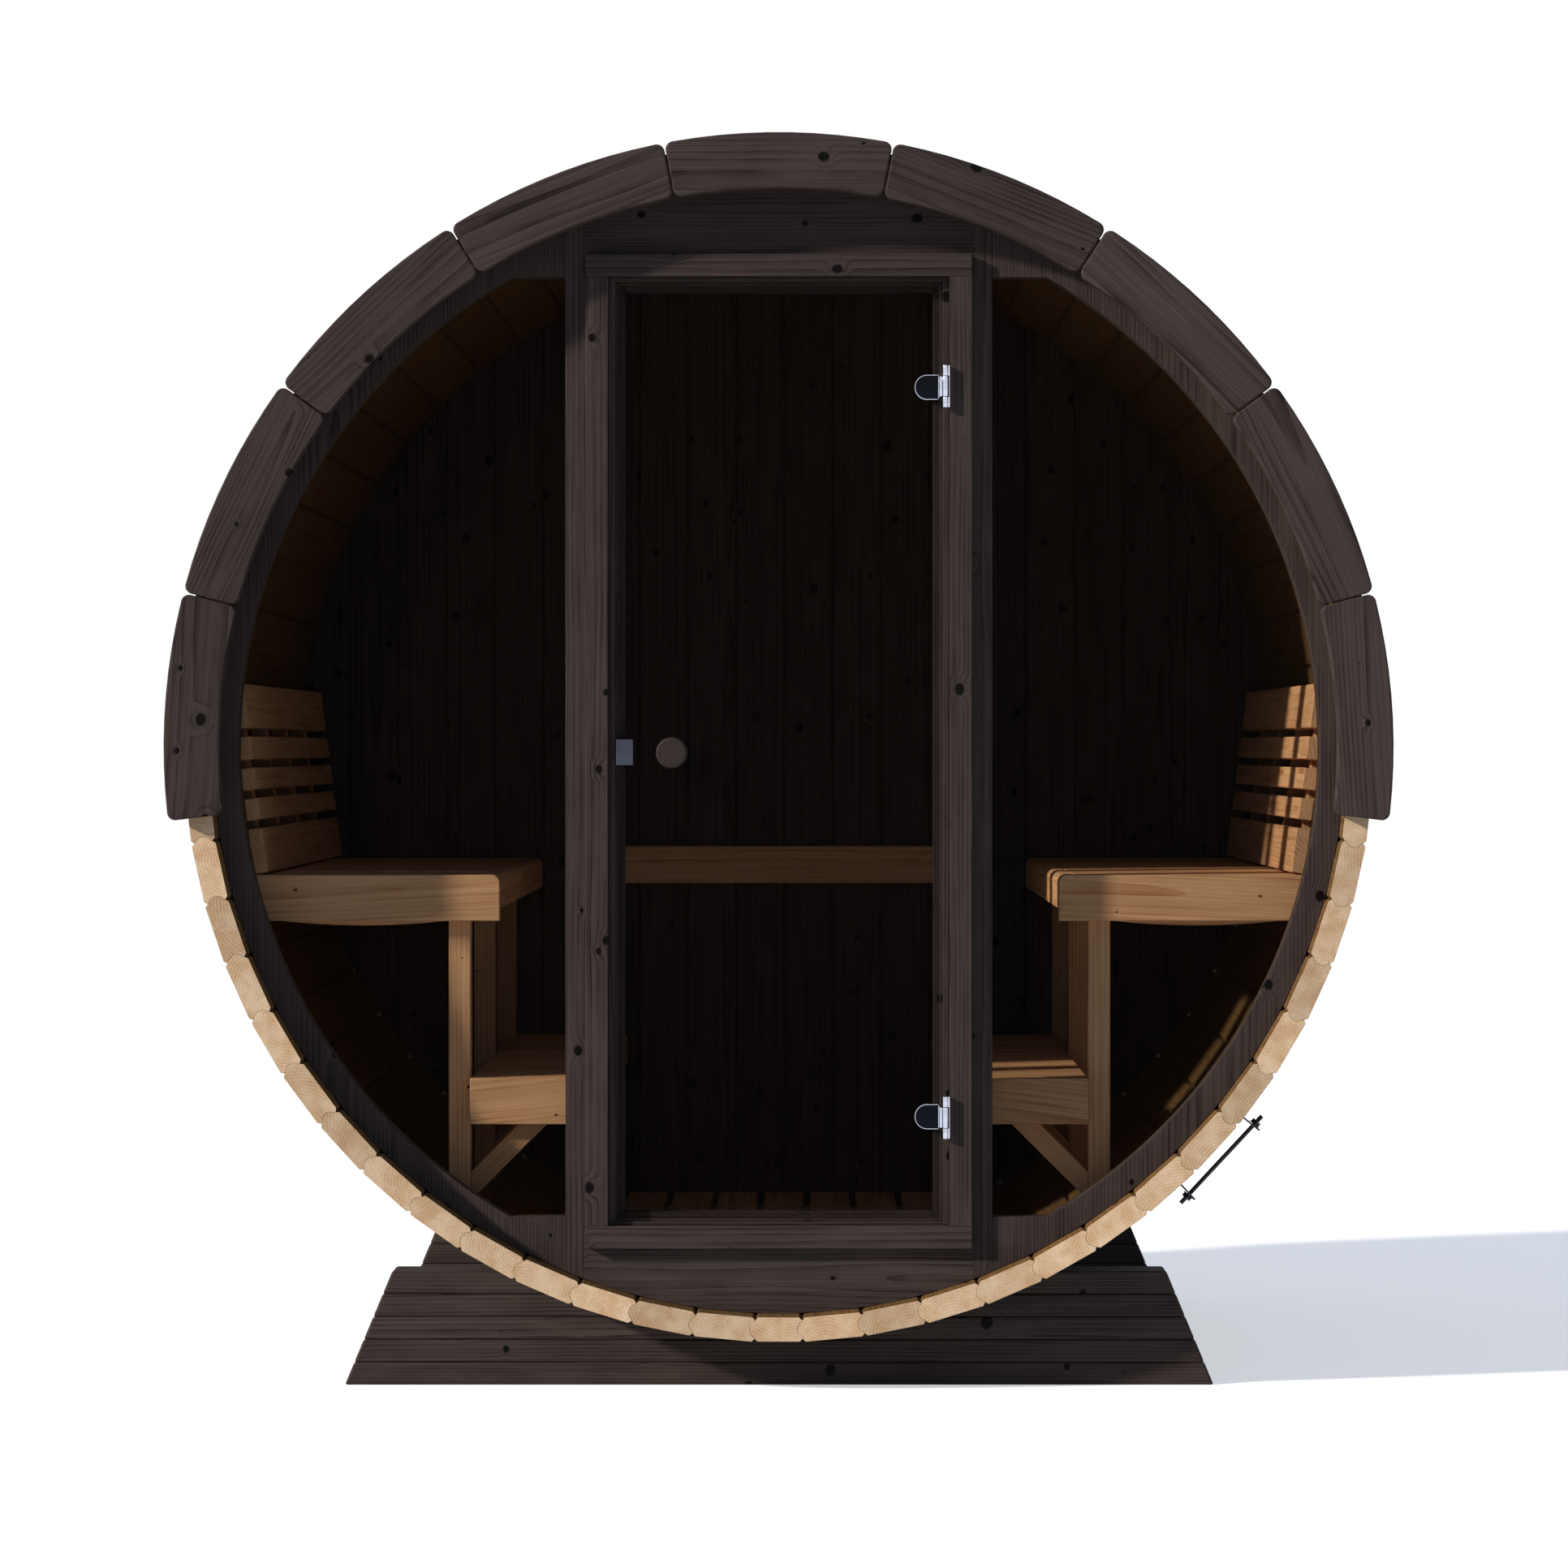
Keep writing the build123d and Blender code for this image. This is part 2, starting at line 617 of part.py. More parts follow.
def make_backrests():
    """Five boards leaning back above each bench, on upright battens shaped to the staves."""
    height = sum(backrest_board_heights) + backrest_board_gap * (len(backrest_board_heights) - 1)
    lean = math.atan((backrest_foot_standoff - backrest_top_standoff) / height)
    foot_x = wall_radius - backrest_foot_standoff
    foot_z = -bench_drop + backrest_lift

    def at(up, back):
        return (foot_x + up * math.sin(lean) + back * math.cos(lean),
                foot_z + up * math.cos(lean) - back * math.sin(lean))

    run = bench_back_depth - bench_depth
    boards, low = [], backrest_board_thickness * math.tan(lean)
    for board_height in backrest_board_heights:
        high = low + board_height
        board = polygon(at(low, 0), at(high, 0), at(high, backrest_board_thickness),
                        at(low, backrest_board_thickness))
        boards.append(slab(board, bench_depth, run))
        low = high + backrest_board_gap
    save("backrest_right", boards)
    save("backrest_left", mirrored(boards))

    face = backrest_board_thickness + fit
    low = face * math.tan(lean)
    batten = polygon(at(low, face), at(low + height, face), at(low + height, face + backrest_foot_standoff),
                     at(low + overrun, face + backrest_foot_standoff)) & Circle(wall_radius)
    step = run / backrest_batten_count
    battens = [slab(batten, bench_depth + (index + 0.5) * step - backrest_batten_width / 2, backrest_batten_width)
               for index in range(backrest_batten_count)]
    save("backrest_battens", battens + mirrored(battens))


os.makedirs("parts", exist_ok=True)
make_staves()
make_cradles()
make_fascias()
make_bands()
make_roof()
make_front_wall()
make_door_frame()
make_door()
make_back_wall()
make_floor()
make_benches()
make_backrests()
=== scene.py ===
import math
import random

import bpy
import numpy as np
from mathutils import Matrix, Vector


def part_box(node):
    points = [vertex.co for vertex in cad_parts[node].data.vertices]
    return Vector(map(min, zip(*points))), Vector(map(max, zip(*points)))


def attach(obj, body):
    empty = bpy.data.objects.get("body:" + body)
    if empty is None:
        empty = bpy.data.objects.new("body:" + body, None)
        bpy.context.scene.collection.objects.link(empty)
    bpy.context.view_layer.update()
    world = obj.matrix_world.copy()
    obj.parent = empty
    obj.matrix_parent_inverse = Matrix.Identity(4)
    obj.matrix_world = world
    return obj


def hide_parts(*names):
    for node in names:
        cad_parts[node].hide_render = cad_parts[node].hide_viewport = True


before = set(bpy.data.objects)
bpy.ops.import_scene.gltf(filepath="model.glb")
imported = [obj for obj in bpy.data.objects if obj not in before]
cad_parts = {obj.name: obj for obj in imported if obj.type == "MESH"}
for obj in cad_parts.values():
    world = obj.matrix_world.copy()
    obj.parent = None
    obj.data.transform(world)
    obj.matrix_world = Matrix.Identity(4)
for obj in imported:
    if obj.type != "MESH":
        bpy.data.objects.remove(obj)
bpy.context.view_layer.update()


# Staves: sixty planks of spruce, each milled with a bead on one edge and a cove on the other.
# They are left bare inside and at the sawn ends, and brushed with a dark stain on the weather side.
front_low, front_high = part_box("band_front")
axis_height = (front_low.z + front_high.z) / 2
stave_ease, stave_face_depth = 0.0005, 0.012
sawn_end_normal = 0.5
stave_groups = ("bottom", "lower_left", "upper_left", "top", "upper_right", "lower_right")


def eased_copy(node, material, ease, body="barrel"):
    """A copy of a solid with its flat facets joined and its sharp edges eased, in one material."""
    weld_gap, flat_degrees = 0.00001, 0.5
    arris_degrees, arris_steps = 32, 2
    bpy.ops.object.select_all(action="DESELECT")
    piece = bpy.data.objects.new(node + "_finished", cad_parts[node].data.copy())
    bpy.context.collection.objects.link(piece)
    bpy.context.view_layer.objects.active = piece
    piece.select_set(True)
    bpy.ops.mesh.customdata_custom_splitnormals_clear()
    bpy.ops.object.mode_set(mode="EDIT")
    bpy.ops.mesh.select_all(action="SELECT")
    bpy.ops.mesh.remove_doubles(threshold=weld_gap)
    bpy.ops.mesh.dissolve_limited(angle_limit=math.radians(flat_degrees))
    bpy.ops.object.mode_set(mode="OBJECT")
    bpy.ops.object.shade_flat()
    bevel = piece.modifiers.new("eased_arrises", "BEVEL")
    bevel.width = ease
    bevel.segments = arris_steps
    bevel.limit_method = "ANGLE"
    bevel.angle_limit = math.radians(arris_degrees)
    bevel.use_clamp_overlap = False
    bpy.ops.object.modifier_apply(modifier=bevel.name)
    piece.data.materials.clear()
    piece.data.materials.append(material)
    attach(piece, body)
    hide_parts(node)
    return piece


def boards_of(mesh):
    """The vertex numbers of each separate board in a mesh."""
    leader = list(range(len(mesh.vertices)))

    def first(vertex):
        while leader[vertex] != vertex:
            leader[vertex] = leader[leader[vertex]]
            vertex = leader[vertex]
        return vertex

    for edge in mesh.edges:
        leader[first(edge.vertices[0])] = first(edge.vertices[1])
    boards = {}
    for vertex in range(len(mesh.vertices)):
        boards.setdefault(first(vertex), []).append(vertex)
    return boards.values()


def lay_grain(piece, grain=None):
    """Saw each board from a log of its own: the grain runs along the board, with the pith to one side."""
    log_length, pith_side, pith_near, pith_far = 20, 0.05, 0.02, 0.11
    mesh = piece.data
    places = np.array([vertex.co for vertex in mesh.vertices])
    wood = np.zeros_like(places)
    tone = np.zeros(len(places))
    chance = random.Random(piece.name)
    for board in boards_of(mesh):
        spread = places[board] - places[board].mean(axis=0)
        along = np.linalg.eigh(spread.T @ spread)[1][:, 2] if grain is None else np.array(grain, float)
        flat = spread - np.outer(spread @ along, along)
        across = np.linalg.eigh(flat.T @ flat)[1][:, 2]
        through = np.cross(along, across)
        pith = (chance.uniform(0, log_length), chance.uniform(-pith_side, pith_side),
                chance.choice((-1, 1)) * chance.uniform(pith_near, pith_far))
        wood[board] = spread @ np.array([along, across, through]).T + pith
        tone[board] = chance.random()
    mesh.attributes.new("grain", "FLOAT_VECTOR", "POINT").data.foreach_set("vector", wood.ravel())
    mesh.attributes.new("board", "FLOAT", "POINT").data.foreach_set("value", tone)


def colour(code):
    """A hex sRGB colour as linear red, green, blue and alpha."""
    parts = [int(code[i:i + 2], 16) / 255 for i in (1, 3, 5)]
    return tuple(p / 12.92 if p <= 0.04045 else ((p + 0.055) / 1.055) ** 2.4 for p in parts) + (1.0,)


def bare_material(name):
    """A new material, and its node tree with nothing in it."""
    material = bpy.data.materials.new(name)
    material.use_nodes = True
    material.node_tree.nodes.clear()
    return material, material.node_tree


def add_node(tree, kind, inputs=None, **settings):
    """Add a shader node with its settings, then set or link its input sockets."""
    made = tree.nodes.new(kind)
    for name, value in settings.items():
        setattr(made, name, value)
    for socket, value in (inputs or {}).items():
        if isinstance(value, bpy.types.NodeSocket):
            tree.links.new(value, made.inputs[socket])
        else:
            made.inputs[socket].default_value = value
    return made


def spruce(name, early, late, knot, knot_large, ring_spacing, ring_share, patch_share, fibre_tones,
           board_tones, roughness):
    """Planed spruce: growth rings round each board's pith, fibres along it, uneven patches and dark knots.
    Rings on the faces are drawn 5 to 7 mm apart, coarser than the real 3 mm, so that they show."""
    knot_spacing, knot_stretch, knot_tilt = 0.12, 0.8, 0.7
    knot_small, knotless_share, knot_core_share = 0.001, 0.3, 0.7
    swirl_reach, swirl_height = 3.2, 0.9
    ring_wander, wander_length, wander_width = 0.016, 0.7, 0.12
    ring_sharpness, faint_ring, strong_ring = 3.0, 0.35, 1.2
    fibre_length, fibre_width, fibre_low, fibre_high = 0.3, 0.0026, 0.25, 0.75
    patch_length, patch_width, patch_low, patch_high = 0.14, 0.035, 0.35, 0.65
    smoother, rougher = 0.08, 0.1
    ring_height, relief_strength, relief_depth = 0.5, 0.5, 0.0007
    wood_ior, wood_shine = 1.5, 0.06
    material, tree = bare_material(name)
    grain = add_node(tree, "ShaderNodeAttribute", attribute_name="grain").outputs["Vector"]
    board = add_node(tree, "ShaderNodeAttribute", attribute_name="board").outputs["Fac"]

    # Knots are branches that cross the board aslant, each of its own size, and the rings swell round them.
    knot_along = add_node(tree, "ShaderNodeVectorMath", {
        0: grain, 1: (knot_stretch / knot_spacing, 0, 0)}, operation="DOT_PRODUCT").outputs["Value"]
    knot_across = add_node(tree, "ShaderNodeVectorMath", {
        0: grain, 1: (0, 1 / knot_spacing, knot_tilt / knot_spacing)},
        operation="DOT_PRODUCT").outputs["Value"]
    knot_place = add_node(tree, "ShaderNodeCombineXYZ", {0: knot_along, 1: knot_across}).outputs[0]
    knots = add_node(tree, "ShaderNodeTexVoronoi", {"Vector": knot_place, "Scale": 1.0},
                     voronoi_dimensions="2D")
    knot_far = add_node(tree, "ShaderNodeMath", {
        0: knots.outputs["Distance"], 1: knot_spacing}, operation="MULTIPLY").outputs[0]
    knot_chance = add_node(tree, "ShaderNodeSeparateColor", {0: knots.outputs["Color"]}).outputs[0]
    knot_size = add_node(tree, "ShaderNodeMapRange", {
        "Value": knot_chance, "From Min": knotless_share,
        "To Min": knot_small, "To Max": knot_large}).outputs[0]
    knot_core = add_node(tree, "ShaderNodeMath", {
        0: knot_size, 1: knot_core_share}, operation="MULTIPLY").outputs[0]
    knot_mask = add_node(tree, "ShaderNodeMapRange", {
        "Value": knot_far, "From Min": knot_core, "From Max": knot_size, "To Min": 1.0, "To Max": 0.0},
        interpolation_type="SMOOTHSTEP").outputs[0]
    reach = add_node(tree, "ShaderNodeMath", {
        0: knot_size, 1: swirl_reach}, operation="MULTIPLY").outputs[0]
    lift = add_node(tree, "ShaderNodeMath", {
        0: knot_size, 1: swirl_height}, operation="MULTIPLY").outputs[0]
    swirl = add_node(tree, "ShaderNodeMapRange", {
        "Value": knot_far, "From Min": 0.0, "From Max": reach, "To Min": lift, "To Max": 0.0},
        interpolation_type="SMOOTHERSTEP").outputs[0]

    # Rings are shells round the pith that wander along the log, pale early wood ending in dark late wood.
    wander_place = add_node(tree, "ShaderNodeVectorMath", {
        0: grain, 1: (1 / wander_length, 1 / wander_width, 1 / wander_width)},
        operation="MULTIPLY").outputs["Vector"]
    wander = add_node(tree, "ShaderNodeTexNoise", {
        "Vector": wander_place, "Scale": 1.0, "Detail": 2.0}).outputs[0]
    section = add_node(tree, "ShaderNodeVectorMath", {
        0: grain, 1: (0, 1, 1)}, operation="MULTIPLY").outputs["Vector"]
    radius = add_node(tree, "ShaderNodeVectorMath", {0: section}, operation="LENGTH").outputs["Value"]
    radius = add_node(tree, "ShaderNodeMath", {0: wander, 1: ring_wander, 2: radius},
                      operation="MULTIPLY_ADD").outputs[0]
    radius = add_node(tree, "ShaderNodeMath", {0: radius, 1: swirl}, operation="ADD").outputs[0]
    phase = add_node(tree, "ShaderNodeMath", {0: radius, 1: ring_spacing}, operation="DIVIDE").outputs[0]
    phase = add_node(tree, "ShaderNodeMath", {0: phase}, operation="FRACT").outputs[0]
    ring = add_node(tree, "ShaderNodeMath", {0: phase, 1: ring_sharpness}, operation="POWER").outputs[0]

    fibre_place = add_node(tree, "ShaderNodeVectorMath", {
        0: grain, 1: (1 / fibre_length, 1 / fibre_width, 1 / fibre_width)},
        operation="MULTIPLY").outputs["Vector"]
    fibre = add_node(tree, "ShaderNodeTexNoise", {
        "Vector": fibre_place, "Scale": 1.0, "Detail": 3.0}).outputs[0]

    # Patches are where the wood took more stain, heat or resin: darker, with stronger rings.
    patch_place = add_node(tree, "ShaderNodeVectorMath", {
        0: grain, 1: (1 / patch_length, 1 / patch_width, 1 / patch_width)},
        operation="MULTIPLY").outputs["Vector"]
    patch = add_node(tree, "ShaderNodeTexNoise", {
        "Vector": patch_place, "Scale": 1.0, "Detail": 3.0}).outputs[0]
    patch = add_node(tree, "ShaderNodeMapRange", {
        "Value": patch, "From Min": patch_low, "From Max": patch_high}).outputs[0]
    ring_depth = add_node(tree, "ShaderNodeMapRange", {
        "Value": patch, "To Min": faint_ring * ring_share, "To Max": strong_ring * ring_share}).outputs[0]
    late_share = add_node(tree, "ShaderNodeMath", {0: ring, 1: ring_depth}, operation="MULTIPLY").outputs[0]
    late_share = add_node(tree, "ShaderNodeMath", {0: patch, 1: patch_share, 2: late_share},
                          operation="MULTIPLY_ADD").outputs[0]

    wood = add_node(tree, "ShaderNodeMix", {0: late_share, 6: colour(early), 7: colour(late)},
                    data_type="RGBA").outputs[2]
    board_tone = add_node(tree, "ShaderNodeMapRange", {
        "Value": board, "To Min": board_tones[0], "To Max": board_tones[1]}).outputs[0]
    fibre_tone = add_node(tree, "ShaderNodeMapRange", {
        "Value": fibre, "From Min": fibre_low, "From Max": fibre_high,
        "To Min": fibre_tones[0], "To Max": fibre_tones[1]}).outputs[0]
    tone = add_node(tree, "ShaderNodeMath", {0: board_tone, 1: fibre_tone}, operation="MULTIPLY").outputs[0]
    wood = add_node(tree, "ShaderNodeMix", {0: 1.0, 6: wood, 7: tone},
                    data_type="RGBA", blend_type="MULTIPLY").outputs[2]
    wood = add_node(tree, "ShaderNodeMix", {0: knot_mask, 6: wood, 7: colour(knot)},
                    data_type="RGBA").outputs[2]

    rough = add_node(tree, "ShaderNodeMapRange", {
        "Value": fibre, "From Min": fibre_low, "From Max": fibre_high,
        "To Min": roughness - smoother, "To Max": roughness + rougher}).outputs[0]
    height = add_node(tree, "ShaderNodeMath", {0: ring, 1: ring_height, 2: fibre},
                      operation="MULTIPLY_ADD").outputs[0]
    bump = add_node(tree, "ShaderNodeBump", {
        "Height": height, "Strength": relief_strength, "Distance": relief_depth}).outputs[0]
    surface = add_node(tree, "ShaderNodeBsdfPrincipled", {
        "Base Color": wood, "Roughness": rough, "Normal": bump,
        "IOR": wood_ior, "Specular IOR Level": wood_shine})
    add_node(tree, "ShaderNodeOutputMaterial", {"Surface": surface.outputs[0]})
    return material


# Spruce inside the barrel, painted dark and dull as shade, with faint rings.
natural_spruce = spruce("natural_spruce", early="#6d5232", late="#4c3621", knot="#342214", knot_large=0.0105,
                        ring_spacing=0.007, ring_share=0.6, patch_share=0.15,
                        fibre_tones=(0.75, 1.25), board_tones=(0.82, 1.08), roughness=0.6)
# Spruce sawn across the grain: pale and fuzzy, with resin patches and hardly a ring.
spruce_end_grain = spruce("spruce_end_grain", early="#dec4a3", late="#b78a5a", knot="#80552f",
                          knot_large=0.004, ring_spacing=0.0055, ring_share=0.4, patch_share=0.42,
                          fibre_tones=(0.82, 1.12), board_tones=(0.76, 1.06), roughness=0.7)
# Spruce under a thin brown and black stain: matt, with rings and knots darker than the wood between.
stained_spruce = spruce("stained_spruce", early="#433a37", late="#1e1918", knot="#050404", knot_large=0.0105,
                        ring_spacing=0.006, ring_share=0.85, patch_share=0.15,
                        fibre_tones=(0.66, 1.3), board_tones=(0.88, 1.1), roughness=0.55)

# The inner faces of the staves take the spruce that is painted dark as shade inside the barrel.
for group in stave_groups:
    staves = eased_copy("staves_" + group, natural_spruce, stave_ease)
    lay_grain(staves)
    stained, sawn = 1, 2
    staves.data.materials.append(stained_spruce)
    staves.data.materials.append(spruce_end_grain)
    outside = max(math.hypot(v.co.x, v.co.z - axis_height) for v in staves.data.vertices) - stave_face_depth
    for face in staves.data.polygons:
        if abs(face.normal.y) > sawn_end_normal:
            face.material_index = sawn
        elif math.hypot(face.center.x, face.center.z - axis_height) > outside:
            face.material_index = stained


# Cradles: stacked boards of stained spruce, sawn to slanting ends and to the round of the barrel.
# They carry the barrel clear of the ground.
cradle_ease = 0.004
for node in ("cradle_front", "cradle_rear"):
    lay_grain(eased_copy(node, stained_spruce, cradle_ease), (1, 0, 0))


# Bands: thin strips of steel round both ends of the barrel, painted black.
# Each is drawn tight like a cask's hoop, by an ear bent up at either end.
def painted_steel(name, paint, roughness):
    """Steel with thin baked paint: a slight orange peel and a sheen that varies where hands have been."""
    peel_size, peel_strength, peel_depth = 0.004, 0.2, 0.0003
    smear_size, smear_low, smear_high = 0.05, 0.3, 0.7
    paint_darker, paint_paler = 0.75, 1.25
    smoother, rougher = 0.08, 0.1
    paint_shine = 0.35
    material, tree = bare_material(name)
    place = add_node(tree, "ShaderNodeTexCoord").outputs["Object"]
    smear = add_node(tree, "ShaderNodeTexNoise", {
        "Vector": place, "Scale": 1 / smear_size, "Detail": 3.0}).outputs[0]
    peel = add_node(tree, "ShaderNodeTexNoise", {"Vector": place, "Scale": 1 / peel_size}).outputs[0]
    worn = add_node(tree, "ShaderNodeMapRange", {
        "Value": smear, "From Min": smear_low, "From Max": smear_high,
        "To Min": paint_darker, "To Max": paint_paler}).outputs[0]
    coat = add_node(tree, "ShaderNodeMix", {0: 1.0, 6: colour(paint), 7: worn},
                    data_type="RGBA", blend_type="MULTIPLY").outputs[2]
    rough = add_node(tree, "ShaderNodeMapRange", {
        "Value": smear, "From Min": smear_low, "From Max": smear_high,
        "To Min": roughness - smoother, "To Max": roughness + rougher}).outputs[0]
    bump = add_node(tree, "ShaderNodeBump", {
        "Height": peel, "Strength": peel_strength, "Distance": peel_depth}).outputs[0]
    surface = add_node(tree, "ShaderNodeBsdfPrincipled", {
        "Base Color": coat, "Roughness": rough, "Normal": bump, "Specular IOR Level": paint_shine})
    add_node(tree, "ShaderNodeOutputMaterial", {"Surface": surface.outputs[0]})
    return material


# Steel under black paint: near black with a low sheen, a little blue in the light.
black_painted_steel = painted_steel("black_painted_steel", paint="#12141d", roughness=0.4)
for node in ("band_front", "band_rear"):
    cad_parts[node].data.materials.clear()
    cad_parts[node].data.materials.append(black_painted_steel)


# Tensioners: a threaded rod of blackened steel through the ears of each band.
# A hexagon nut on a washer outside each ear draws the band tight.
rod_core, rod_thread, rod_pitch, rod_length = 0.0036, 0.0008, 0.002, 0.208
rod_sides, thread_sides, thread_steps = 16, 3, 12
nut_across, nut_height, nut_sides, nut_ease, nut_ease_steps = 0.016, 0.0065, 6, 0.0009, 2
washer_radius, washer_height, washer_sides = 0.0105, 0.0016, 28
nut_seat = 0.0845
rod_smooth_degrees = 35
ear_clock = 133
rod_distance = 1.056

bpy.ops.object.select_all(action="DESELECT")
bpy.ops.mesh.primitive_circle_add(vertices=thread_sides, radius=rod_thread, fill_type="NOTHING",
                                  location=(rod_core, 0, -rod_length / 2), rotation=(math.pi / 2, 0, 0))
rod = bpy.context.object
rod.name = "tensioner_front"
bpy.ops.object.transform_apply()
thread = rod.modifiers.new("thread", "SCREW")
thread.axis = "Z"
thread.screw_offset = rod_pitch
thread.iterations = int(rod_length / rod_pitch) - 1
thread.steps = thread.render_steps = thread_steps
bpy.ops.object.modifier_apply(modifier=thread.name)
bpy.ops.object.mode_set(mode="EDIT")
bpy.ops.mesh.primitive_cylinder_add(vertices=rod_sides, radius=rod_core, depth=rod_length)
for end in (-1, 1):
    seat = end * nut_seat
    bpy.ops.mesh.primitive_cylinder_add(
        vertices=washer_sides, radius=washer_radius, depth=washer_height, location=(0, 0, seat))
    bpy.ops.mesh.primitive_cylinder_add(
        vertices=nut_sides, radius=nut_across / math.sqrt(3), depth=nut_height,
        location=(0, 0, seat + end * (nut_height + washer_height) / 2))
    bpy.ops.mesh.bevel(offset=nut_ease, segments=nut_ease_steps, affect="EDGES")
bpy.ops.object.mode_set(mode="OBJECT")
bpy.ops.object.shade_smooth_by_angle(angle=math.radians(rod_smooth_degrees))
rod.rotation_euler = (0, math.radians(ear_clock + 90), 0)
ear_angle = math.radians(ear_clock)
rod.location = (rod_distance * math.sin(ear_angle), (front_low.y + front_high.y) / 2,
                axis_height + rod_distance * math.cos(ear_angle))
bpy.ops.object.transform_apply()
rod.data.materials.append(black_painted_steel)
rear_rod = bpy.data.objects.new("tensioner_rear", rod.data.copy())
bpy.context.collection.objects.link(rear_rod)
rear_low, rear_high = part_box("band_rear")
rod_set_back = (rear_low.y + rear_high.y) / 2 - rod.data.vertices[0].co.y
rear_rod.data.transform(Matrix.Translation((0, rod_set_back, 0)))
for piece in (rod, rear_rod):
    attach(piece, "barrel")
    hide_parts("band_tensioners")


# Fascias: arched boards of stained spruce with rounded corners, nine to each end.
# They are screwed over the ends of the upper staves and close the edge of the roof.
fascia_ease = 0.003
for node in ("fascia_front", "fascia_rear"):
    lay_grain(eased_copy(node, stained_spruce, fascia_ease))


# Roof: courses of bitumen shingles nailed down both sides from the ridge, each lapped by the one above.
# Folded caps close the ridge. The felt is faced with crushed slate.
course_count, tab_count, course_gap = 11, 10, 0.00015
ridge_half_angle, eaves_angle = 4.2, 94.0
tab_thin, tab_thick, tab_slot, tab_corner, felt_thick = 0.004, 0.012, 0.005, 0.012, 0.003
tab_corner_steps, tab_top_share = 3, 1.5
ridge_low, ridge_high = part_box("roof_ridge")
roof_bed = ridge_low.z - axis_height
roof_start, roof_end = ridge_low.y, ridge_high.y
course_angle = (eaves_angle - ridge_half_angle) / course_count
course_half = roof_bed * math.tan(math.radians(course_angle / 2)) - course_gap
tab_pitch = (roof_end - roof_start) / tab_count


def slate_felt(name, dark, pale):
    """Bitumen felt faced with slate granules: dark grey, matt, with a sparkle of paler chips in each tab.
    The 1 mm granules are drawn 3 mm wide, so that they show in the render."""
    granule, granule_strength, granule_depth = 0.003, 0.7, 0.0012
    weathering, washed_low, washed_high, rain_darker, rain_paler = 0.09, 0.3, 0.7, 0.82, 1.12
    tab_darker, tab_paler = 0.7, 1.15
    smoothest, roughest = 0.75, 0.95
    material, tree = bare_material(name)
    place = add_node(tree, "ShaderNodeTexCoord").outputs["Object"]
    tab = add_node(tree, "ShaderNodeAttribute", attribute_name="board").outputs["Fac"]
    chips = add_node(tree, "ShaderNodeTexVoronoi", {"Vector": place, "Scale": 1 / granule})
    chip = add_node(tree, "ShaderNodeSeparateColor", {0: chips.outputs["Color"]}).outputs[0]
    washed = add_node(tree, "ShaderNodeTexNoise", {
        "Vector": place, "Scale": 1 / weathering, "Detail": 4.0}).outputs[0]
    base = add_node(tree, "ShaderNodeMix", {0: chip, 6: colour(dark), 7: colour(pale)},
                    data_type="RGBA").outputs[2]
    tone = add_node(tree, "ShaderNodeMapRange", {
        "Value": tab, "To Min": tab_darker, "To Max": tab_paler}).outputs[0]
    rain = add_node(tree, "ShaderNodeMapRange", {
        "Value": washed, "From Min": washed_low, "From Max": washed_high,
        "To Min": rain_darker, "To Max": rain_paler}).outputs[0]
    tone = add_node(tree, "ShaderNodeMath", {0: tone, 1: rain}, operation="MULTIPLY").outputs[0]
    slate = add_node(tree, "ShaderNodeMix", {0: 1.0, 6: base, 7: tone},
                     data_type="RGBA", blend_type="MULTIPLY").outputs[2]
    rough = add_node(tree, "ShaderNodeMapRange", {
        "Value": chip, "To Min": smoothest, "To Max": roughest}).outputs[0]
    bump = add_node(tree, "ShaderNodeBump", {
        "Height": chips.outputs["Distance"], "Strength": granule_strength, "Distance": granule_depth},
        invert=True).outputs[0]
    surface = add_node(tree, "ShaderNodeBsdfPrincipled", {
        "Base Color": slate, "Roughness": rough, "Normal": bump})
    add_node(tree, "ShaderNodeOutputMaterial", {"Surface": surface.outputs[0]})
    return material


def shingle_course(name, edges):
    """One course at the crown, sloping to the right: a strip of felt with tabs between the given ends."""
    bpy.ops.object.select_all(action="DESELECT")
    bpy.ops.mesh.primitive_cube_add(
        size=1, location=(0, (roof_start + roof_end) / 2, roof_bed + felt_thick / 2),
        scale=(2 * course_half, roof_end - roof_start, felt_thick))
    course = bpy.context.object
    course.name = name
    bpy.ops.object.transform_apply()
    bpy.ops.object.mode_set(mode="EDIT")
    for start, end in zip(edges, edges[1:]):
        first, last = max(start, roof_start) + tab_slot / 2, min(end, roof_end) - tab_slot / 2
        bpy.ops.mesh.primitive_cube_add(
            size=1, location=(0, (first + last) / 2, roof_bed + tab_thick / 2),
            scale=(2 * course_half, last - first, tab_thick))
        bpy.ops.mesh.select_mode(type="EDGE")
        bpy.ops.object.mode_set(mode="OBJECT")
        for edge in course.data.edges:
            ends = [course.data.vertices[v].co for v in edge.vertices]
            upright = abs(ends[0].z - ends[1].z) > tab_thick / 2
            edge.select = edge.select and upright and ends[0].x > 0
        bpy.ops.object.mode_set(mode="EDIT")
        bpy.ops.mesh.bevel(offset=tab_corner, segments=tab_corner_steps, affect="EDGES")
    bpy.ops.mesh.select_mode(type="VERT")
    bpy.ops.object.mode_set(mode="OBJECT")
    for vertex in course.data.vertices:
        if vertex.co.z > roof_bed + felt_thick * tab_top_share:
            up_slope = (course_half - vertex.co.x) / (2 * course_half)
            vertex.co.z -= (tab_thick - tab_thin) * up_slope
    return course


